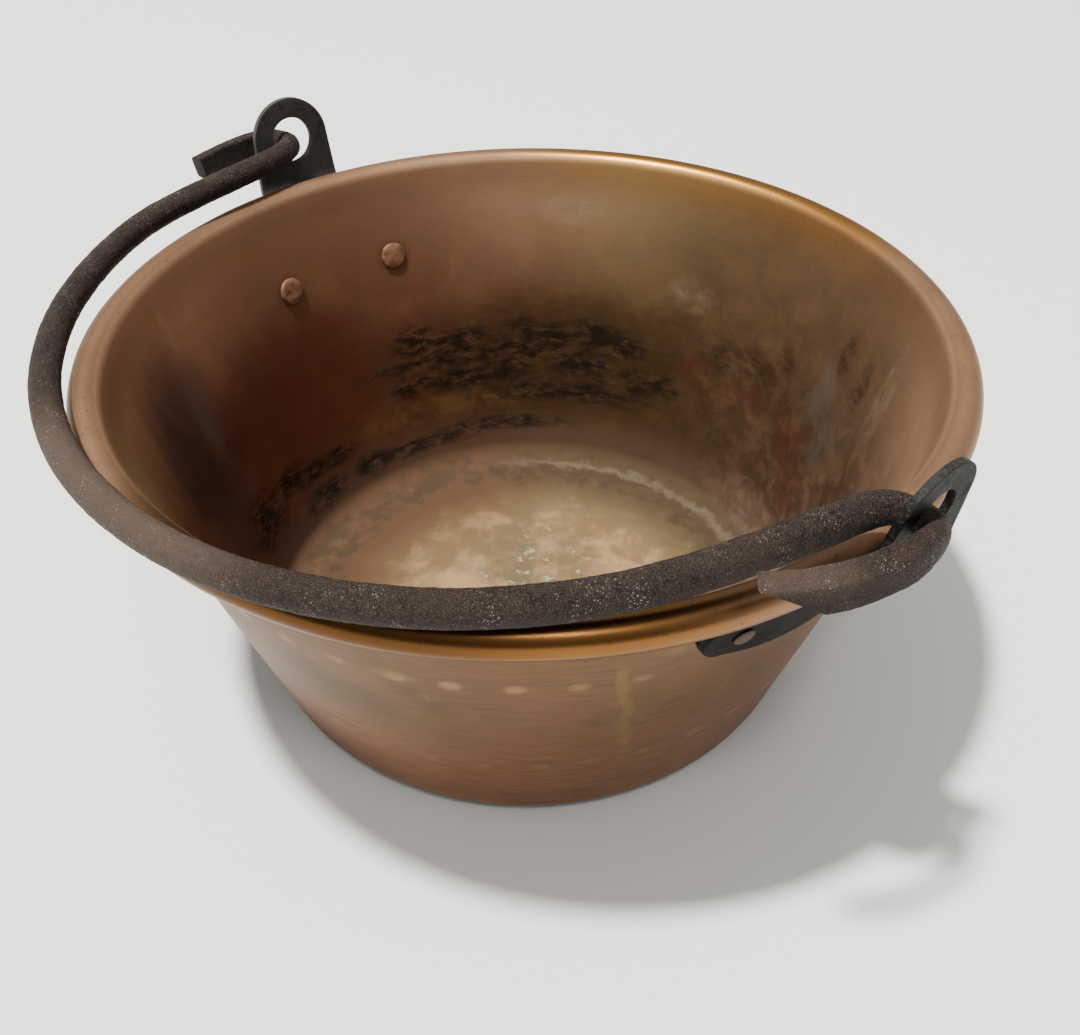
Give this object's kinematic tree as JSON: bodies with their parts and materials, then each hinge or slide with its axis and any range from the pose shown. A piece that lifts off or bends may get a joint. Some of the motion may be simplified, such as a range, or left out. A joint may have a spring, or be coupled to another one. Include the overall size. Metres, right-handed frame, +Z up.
{
  "type": "cauldron",
  "caption": "Flared copper preserving pan with a rolled wired rim, riveted iron ears and a forged iron bail that swings over the rim from one side to the other.",
  "frame": {"origin": "centre of the pan's flat underside", "axes": "+Z up; X along the bail's pivot line through both ears, +X to the ear with the long curled hook tail; the bail lies forward on the -Y half of the rim"},
  "size_m": [0.2965, 0.2663, 0.1442],
  "materials": {
    "pan_copper": "aged copper, satin and streaked outside, browned and sooty inside",
    "rivet_copper": "dull hammered copper",
    "ear_iron": "dark forged iron, worn on the edges",
    "bail_iron": "pitted, rust-brown forged iron",
    "wire_iron": "plain drawn iron wire, hidden in the rim"
  },
  "bodies": {
    "pan": {"pan_body": "pan_copper", "rim_wire": "wire_iron", "ear_right": "ear_iron", "ear_left": "ear_iron", "rivet_right_front": "rivet_copper", "rivet_right_back": "rivet_copper", "rivet_left_front": "rivet_copper", "rivet_left_back": "rivet_copper"},
    "bail": {"bail": "bail_iron"}
  },
  "joints": [
    {"name": "bail_swing", "type": "hinge", "parent": "pan", "child": "bail", "pos_m": [0, 0, 0.1286], "axis": [-1, 0, 0], "range_deg": [0, 186.3]}
  ]
}
